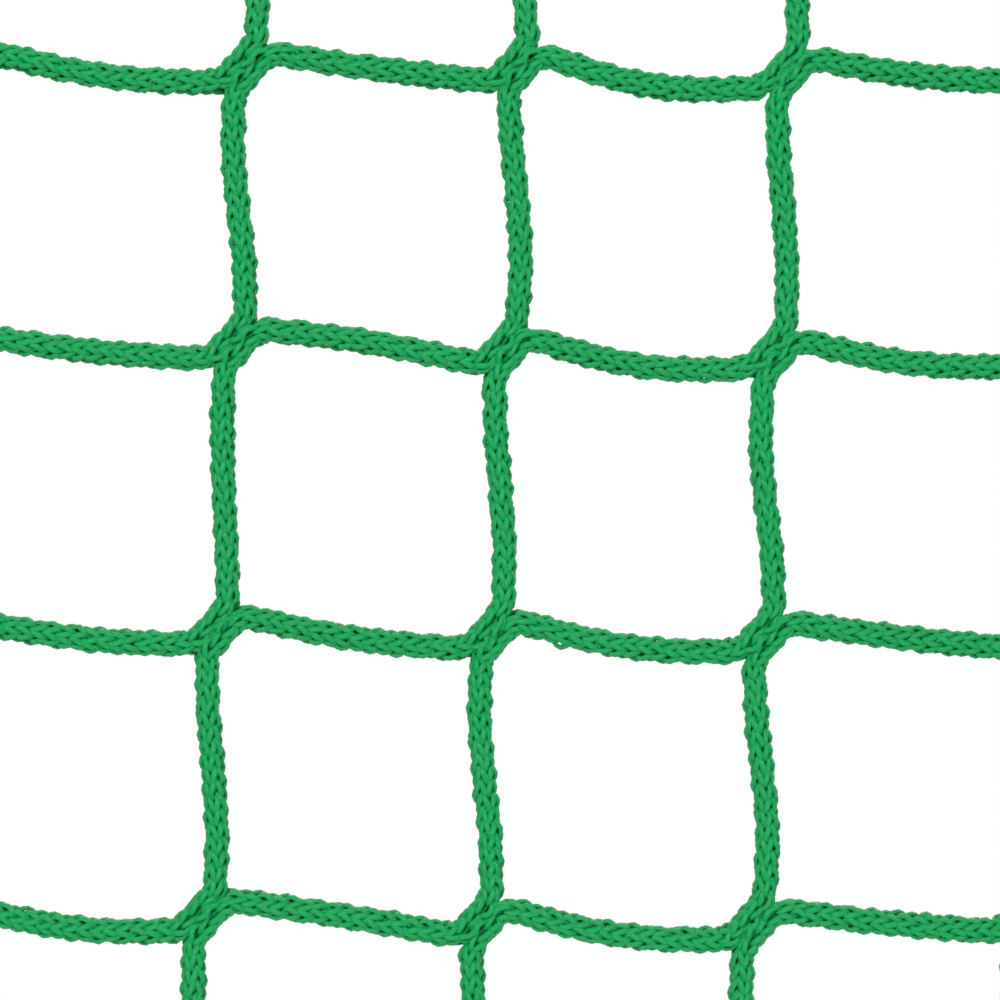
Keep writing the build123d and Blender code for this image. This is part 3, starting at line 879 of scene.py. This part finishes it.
# The outline of two circles with a string round both: at each direction it touches the circle
# that reaches further that way, with the straight runs between, evenly spaced by length
def stringRound(firstRadius, secondRadius, apart, count):
    angle = np.linspace(0, 2 * pi, twine["outlinePoints"])
    ray = np.stack([np.cos(angle), np.sin(angle)], 1)
    further = (apart * ray[:, 0] + secondRadius) > firstRadius
    outline = ray * np.where(further, secondRadius, firstRadius)[:, None]
    outline[:, 0] += np.where(further, apart, 0)
    length = lengthAlong(outline)
    even = np.linspace(0, 1, count) * length[-1]
    return np.stack([np.interp(even, length, outline[:, i]) for i in (0, 1)], 1)


# Turns of twine round two cords: the string's outline, carried along the cords by one pitch a
# turn. First and second are the cords' middles, direction runs along them.
def turnsRound(tubes, first, second, direction, firstRadius, secondRadius, turns, width):
    samples = twine["samples"]
    steps = np.arange(turns * samples + 1)
    half = width / 2 + twine["slack"]
    apart = np.linalg.norm(second - first)
    outline = stringRound(firstRadius + half, secondRadius + half, apart, samples + 1)[:-1]
    spot = outline[steps % samples]
    travel = (steps / samples - turns / 2) * width * twine["pitch"]
    toSecond = (second - first) / apart if apart > 0 else quarterTurn(direction)
    path, outward = np.empty((len(steps), 3)), np.empty((len(steps), 3))
    path[:, [0, 2]] = first + toSecond * spot[:, :1] + direction * travel[:, None]
    path[:, 1] = -spot[:, 1]
    around = np.clip(spot[:, 0], 0, apart)
    outward[:, [0, 2]] = toSecond * (spot[:, 0] - around)[:, None]
    outward[:, 1] = -spot[:, 1]
    outward /= np.linalg.norm(outward, axis=1)[:, None]
    tubes.add(path, outward, width, width)


# The point of a side rope's middle line at a height
def sideAt(corner, z):
    return corner + sideways * ((z - corner[1]) / sideways[1])


# Each lashing of a row: the middle of the leg, the middle of the rope beside it and the way
# they run
def lashingPlaces(row):
    places = []
    if row == 0:
        for column in range(columnCount - 1):
            leg = jointAt(row, column) + lowerIn + right * twine["afterLevelTurn"]
            places.append((leg, np.array([leg[0], topLeft[1][1]]), right))
    if row == rowCount - 1:
        for column in range(1, columnCount):
            leg = jointAt(row, column) + upperOut + left * twine["afterLevelTurn"]
            places.append((leg, np.array([leg[0], bottomLeft[1][1]]), right))
    if row < rowCount - 1:
        leg = jointAt(row, 0) + lowerOut + down * twine["afterSteepTurn"]
        places.append((leg, sideAt(topLeft[1], leg[1]), down))
    if row > 0:
        leg = jointAt(row, columnCount - 1) + upperIn - down * twine["afterSteepTurn"]
        places.append((leg, sideAt(topRight[1], leg[1]), down))
    return places


for row in range(rowCount):
    tubes = TubeMesh(twine["sides"])
    for leg, ropeMiddle, direction in lashingPlaces(row):
        turnsRound(tubes, leg, ropeMiddle, direction, net["strandWidth"] / 2, rope["width"] / 2,
                   twine["lashingTurns"], twine["width"])
    piece = tubes.build(f"twine_lashings_row_{row + 1}", twineYarn, "twine")
    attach(piece, bodyNames[row])
    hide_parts(f"lashings_row_{row + 1}")
for place, body, routes in (("top", bodyNames[0], {"left": topLeft, "right": topRight}),
                            ("bottom", bodyNames[-1], {"left": bottomLeft, "right": bottomRight})):
    tubes = TubeMesh(twine["sides"])
    for side, (_, _, outward) in routes.items():
        middle = eyes[f"{place}_{side}"] - outward * (neckEnds + rope["neckRun"] / 2)
        aside = quarterTurn(outward) * neckHalf
        turnsRound(tubes, middle - aside, middle + aside, outward, rope["width"] / 2, rope["width"] / 2,
                   twine["seizingTurns"], twine["width"])
    piece = tubes.build(f"twine_seizings_{place}", twineYarn, "twine")
    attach(piece, body)
    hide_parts(f"seizings_{place}_eyes")
tubes = TubeMesh(twine["sides"])
turnsRound(tubes, ropeStart, ropeStart, right, rope["width"] / 2, rope["width"] / 2,
           twine["whippingTurns"], twine["whippingWidth"])
piece = tubes.build("twine_whipping", twineYarn, "twine")
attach(piece, bodyNames[-1])
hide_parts("end_whipping")
print("twine wound")

# A pale round floor under the net. Its paint fades out towards the rim, so no edge shows.
floor = {
    "radius": 0.8,
    "below": 0.05,  # under the net's lowest point
    "fadeFrom": 0.3,  # of the radius
    "rings": 24, "spokes": 96,
    "colour": (0.86, 0.86, 0.85),
    "roughness": 0.8,
}
floorMiddle = (float(aim[0]) * mm, 0.0, cadBox[0][2] - floor["below"])
ring, spoke = np.meshgrid(np.linspace(0, 1, floor["rings"]), np.arange(floor["spokes"]), indexing="ij")
angle = spoke * 2 * pi / floor["spokes"]
disc = np.stack([ring * np.cos(angle), ring * np.sin(angle), 0 * ring], -1).reshape(-1, 3)
disc = disc * floor["radius"] + floorMiddle
i, k = np.meshgrid(np.arange(floor["rings"] - 1), np.arange(floor["spokes"]), indexing="ij")
a, b = i * floor["spokes"] + k, i * floor["spokes"] + (k + 1) % floor["spokes"]
quads = np.stack([a, a + floor["spokes"], b + floor["spokes"], b], -1).reshape(-1, 4)
floorMesh = bpy.data.meshes.new("floor")
floorMesh.from_pydata(disc.tolist(), [], quads.tolist())
floorObject = bpy.data.objects.new("floor", floorMesh)
bpy.context.scene.collection.objects.link(floorObject)

floorPaint = bpy.data.materials.new("floor_paint")
floorPaint.use_nodes = True
nodes, links = floorPaint.node_tree.nodes, floorPaint.node_tree.links
paint = nodes["Principled BSDF"]
paint.inputs["Base Color"].default_value = (*floor["colour"], 1)
paint.inputs["Roughness"].default_value = floor["roughness"]
place = nodes.new("ShaderNodeTexCoord")
fromMiddle = nodes.new("ShaderNodeVectorMath")
fromMiddle.operation = "DISTANCE"
fromMiddle.inputs[1].default_value = floorMiddle
fade = nodes.new("ShaderNodeMapRange")
fade.interpolation_type = "SMOOTHSTEP"
fade.inputs["From Min"].default_value = floor["radius"] * floor["fadeFrom"]
fade.inputs["From Max"].default_value = floor["radius"]
fade.inputs["To Min"].default_value = 1.0
fade.inputs["To Max"].default_value = 0.0
links.new(place.outputs["Object"], fromMiddle.inputs[0])
links.new(fromMiddle.outputs["Value"], fade.inputs["Value"])
links.new(fade.outputs["Result"], paint.inputs["Alpha"])
floorMesh.materials.append(floorPaint)
print("floor laid")
